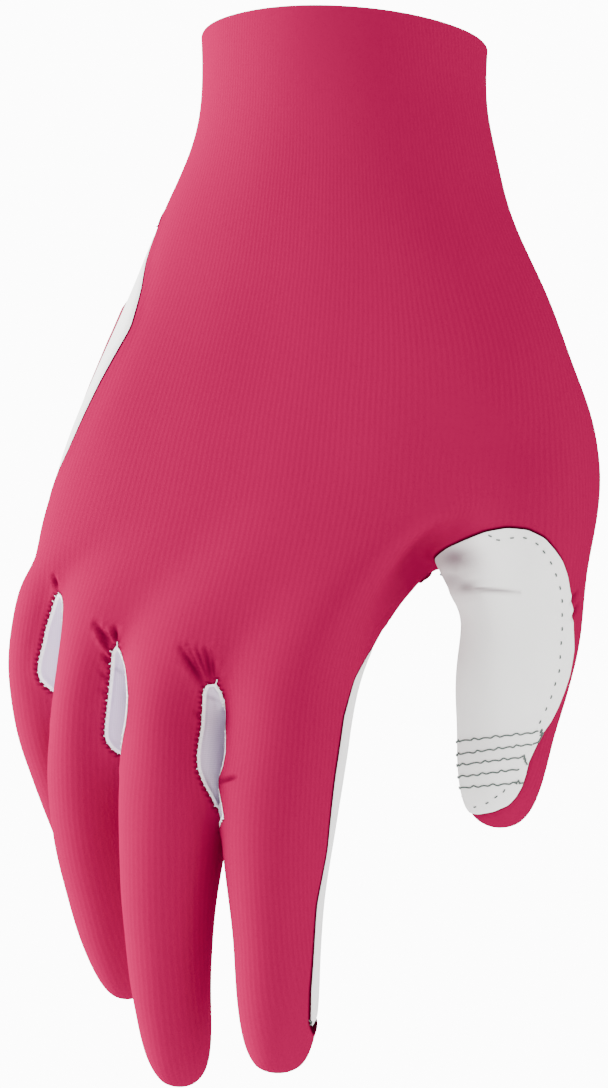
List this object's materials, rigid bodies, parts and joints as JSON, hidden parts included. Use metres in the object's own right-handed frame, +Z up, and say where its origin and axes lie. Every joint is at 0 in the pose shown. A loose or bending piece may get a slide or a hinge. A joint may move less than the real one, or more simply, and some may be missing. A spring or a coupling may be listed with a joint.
{
  "type": "motocross glove",
  "caption": "Right-hand full-finger motocross glove: knit back and stretch cuff, synthetic leather palm, mesh gussets between the fingers and a grip-thread patch on the thumb.",
  "frame": {"origin": "middle of the cuff's mouth, where the wrist goes in", "axes": "+Z up out of the cuff's mouth along the forearm, so the fingers point towards -Z; the back of the hand faces -Y; the thumb is on the +X side"},
  "size_m": [0.1411, 0.0684, 0.2284],
  "materials": {
    "back_knit": "raspberry pink rib knit, matt",
    "cuff_knit": "raspberry pink rib knit, matt",
    "palm_leather": "white synthetic suede, matt",
    "thumb_leather": "white synthetic suede, matt",
    "gusset_mesh": "white stretch mesh, matt",
    "pad_fabric": "raspberry pink bonded pad, matt"
  },
  "bodies": {
    "root": {"back_panel": "back_knit", "cuff_underside": "cuff_knit", "palm_panel": "palm_leather", "thumb_panel": "thumb_leather", "fourchette_index_middle": "gusset_mesh", "fourchette_middle_ring": "gusset_mesh", "fourchette_ring_little": "gusset_mesh", "heel_pad": "pad_fabric"}
  },
  "joints": []
}
